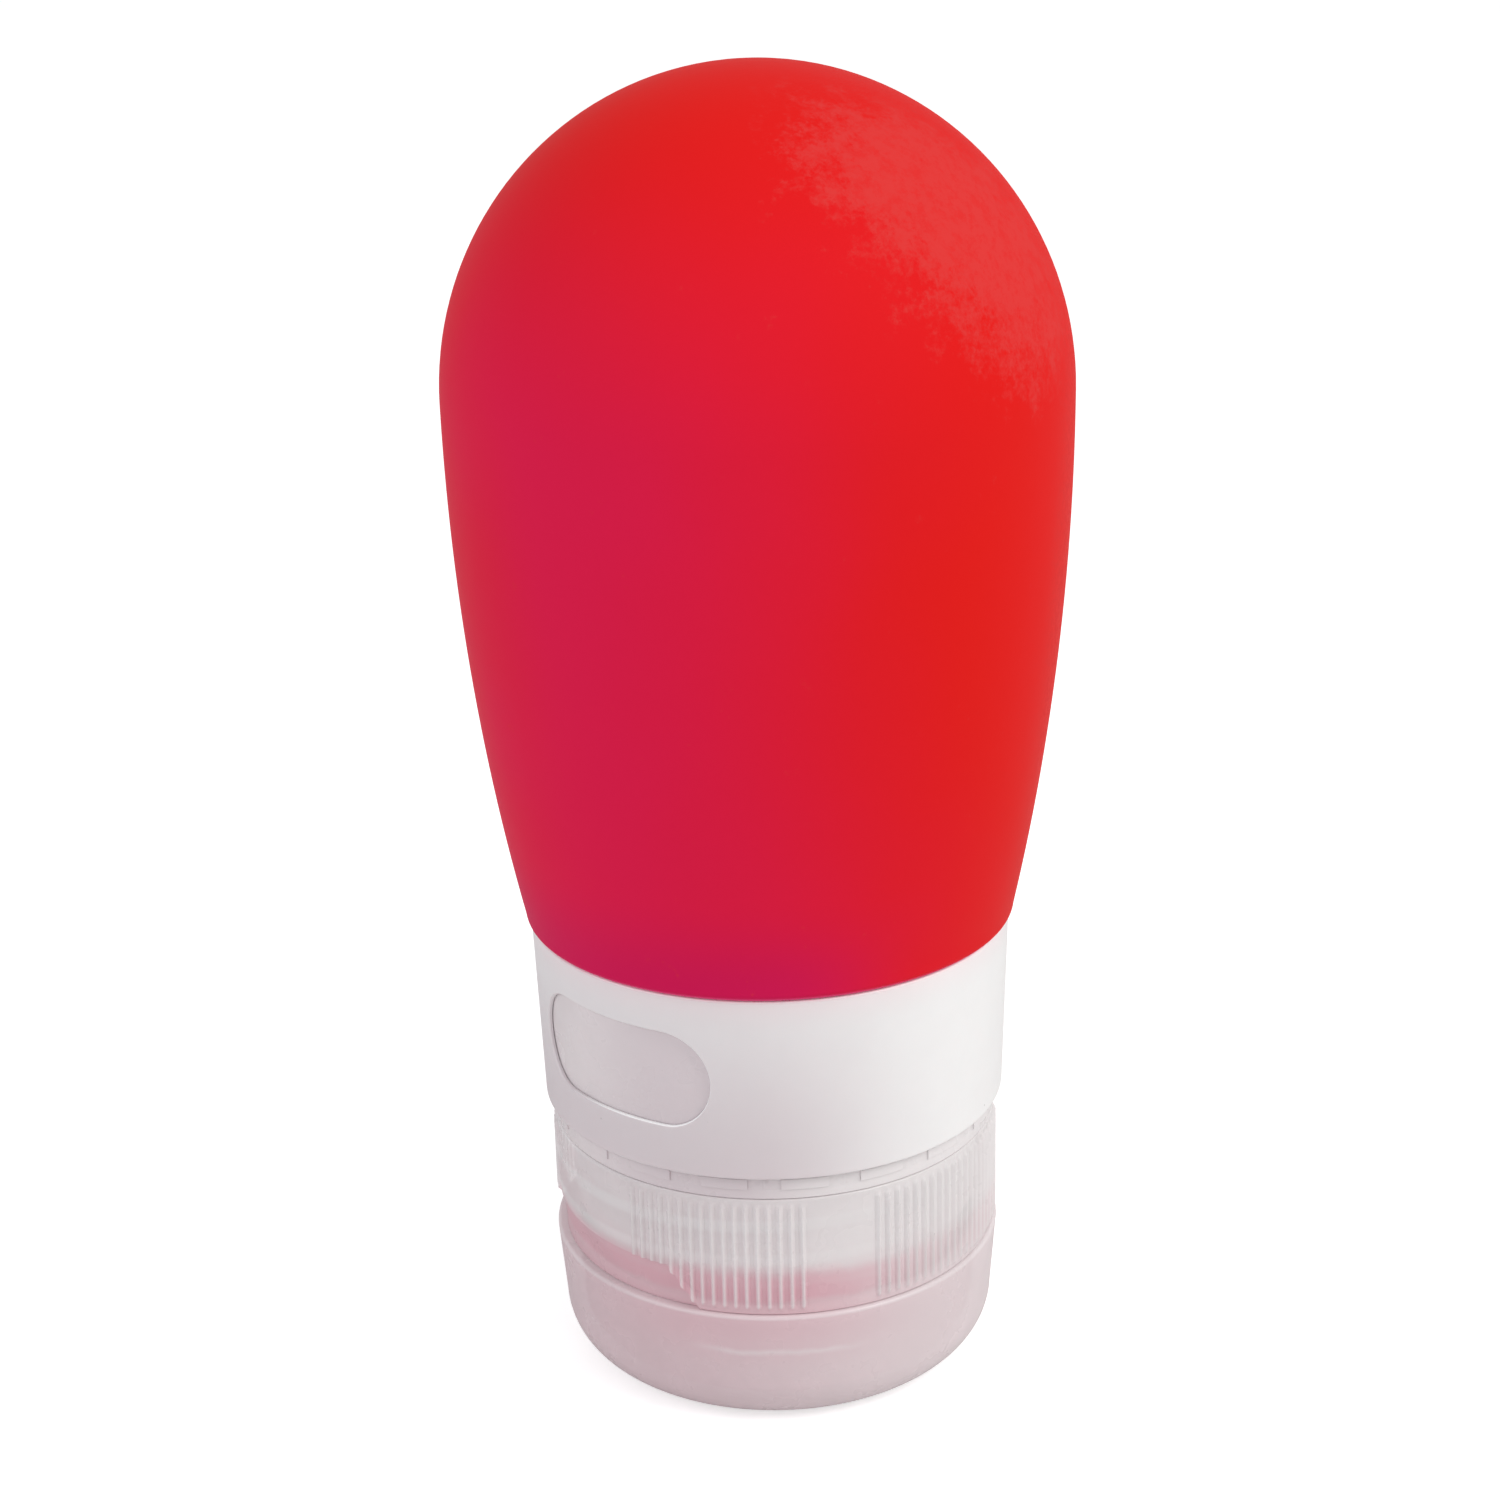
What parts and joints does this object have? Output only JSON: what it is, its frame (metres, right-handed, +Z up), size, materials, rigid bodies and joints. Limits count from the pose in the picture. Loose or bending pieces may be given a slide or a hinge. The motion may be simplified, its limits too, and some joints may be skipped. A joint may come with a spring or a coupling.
{
  "type": "squeeze bottle",
  "caption": "Soft silicone squeeze bottle that stands on its flip lid, with a threaded dispensing cap, a slit valve and a turning content ring behind a collar window.",
  "frame": {"origin": "centre of the lid's flat face, on which the bottle stands", "axes": "+Z up along the bottle's axis to the closed end of the bulb, -Y to the cap's thumb scoop, +Y to the lid's hinge"},
  "size_m": [0.048, 0.048, 0.1045],
  "materials": {
    "red_silicone": "satin silicone",
    "white_plastic": "smooth moulded",
    "frosted_plastic": "frosted translucent",
    "clear_silicone": "clear silicone"
  },
  "bodies": {
    "bottle": {"squeeze_body": "red_silicone", "neck_sleeve": "frosted_plastic", "window_collar": "white_plastic"},
    "ring": {"content_ring": "frosted_plastic"},
    "seal": {"lip_seal": "red_silicone"},
    "cap": {"screw_cap": "frosted_plastic", "flow_valve": "clear_silicone", "valve_retainer": "white_plastic", "hinge_film": "frosted_plastic"},
    "lid": {"flip_lid": "frosted_plastic"}
  },
  "joints": [
    {"name": "ring_turn", "type": "hinge", "parent": "bottle", "child": "ring", "pos_m": [0, 0, 0.021], "axis": [0, 0, 1], "continuous": true},
    {"name": "cap_advance", "type": "slide", "parent": "bottle", "child": "seal", "axis": [0, 0, -1], "range_m": [0, 0.0045]},
    {"name": "cap_unscrew", "type": "hinge", "parent": "seal", "child": "cap", "pos_m": [0, 0, 0.0109], "axis": [0, 0, -1], "range_deg": [0, 540]},
    {"name": "lid_open", "type": "hinge", "parent": "cap", "child": "lid", "pos_m": [0, 0.019, 0.01075], "axis": [1, 0, 0], "range_deg": [0, 150]}
  ],
  "couplings": [
    {"joint": "cap_advance", "follows": "cap_unscrew", "m_per_rad": 0.00047746}
  ]
}
